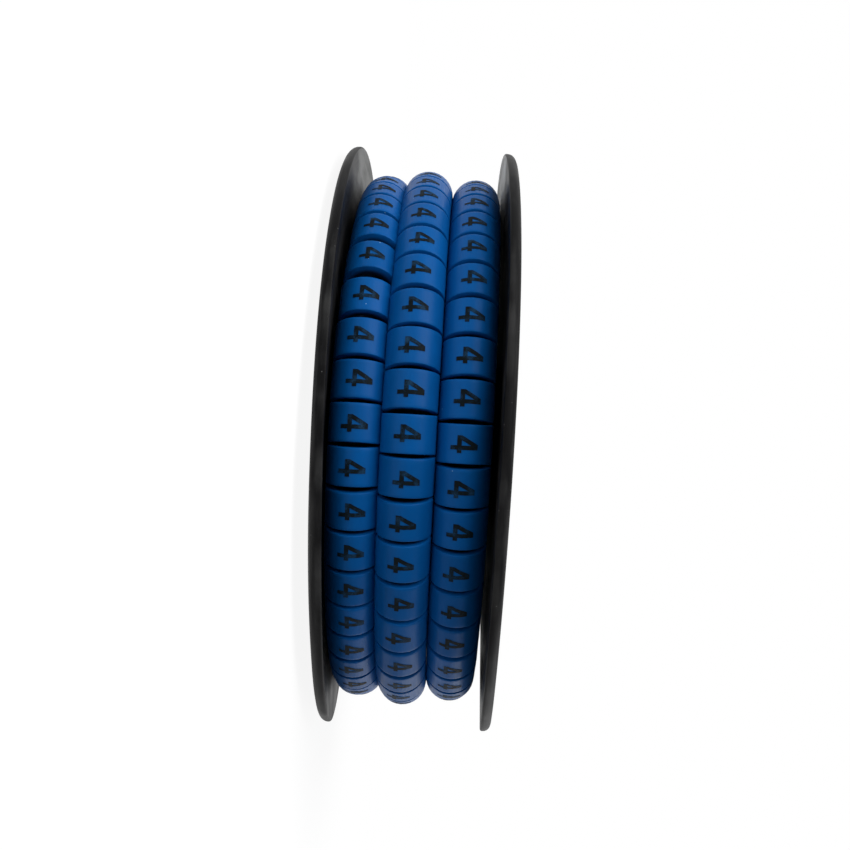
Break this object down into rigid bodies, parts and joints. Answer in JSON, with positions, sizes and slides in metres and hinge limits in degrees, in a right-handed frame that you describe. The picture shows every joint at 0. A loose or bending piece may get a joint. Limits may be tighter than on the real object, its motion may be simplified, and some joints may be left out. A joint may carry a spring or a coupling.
{
  "type": "cable marker reel",
  "caption": "Reel of blue tubular cable markers: a part-cut strip of short printed sleeves wound side by side on a thin-flanged black spool with a spindle bore.",
  "frame": {"origin": "centre of the base flange's outer face, on the spool's axis", "axes": "+Z along the spool's axis towards the top flange; the rows run straight around the front, -Y, and the strip's crossings and free end are at the back, +Y"},
  "size_m": [0.0865, 0.0866, 0.0244],
  "materials": {
    "black_plastic": "moulded, semi-gloss",
    "blue_pvc": "extruded soft PVC, satin",
    "black_ink": "stamped print, slightly worn"
  },
  "bodies": {
    "root": {"spool_base": "black_plastic", "spool_top": "black_plastic", "marker_strip": "blue_pvc"}
  },
  "joints": []
}
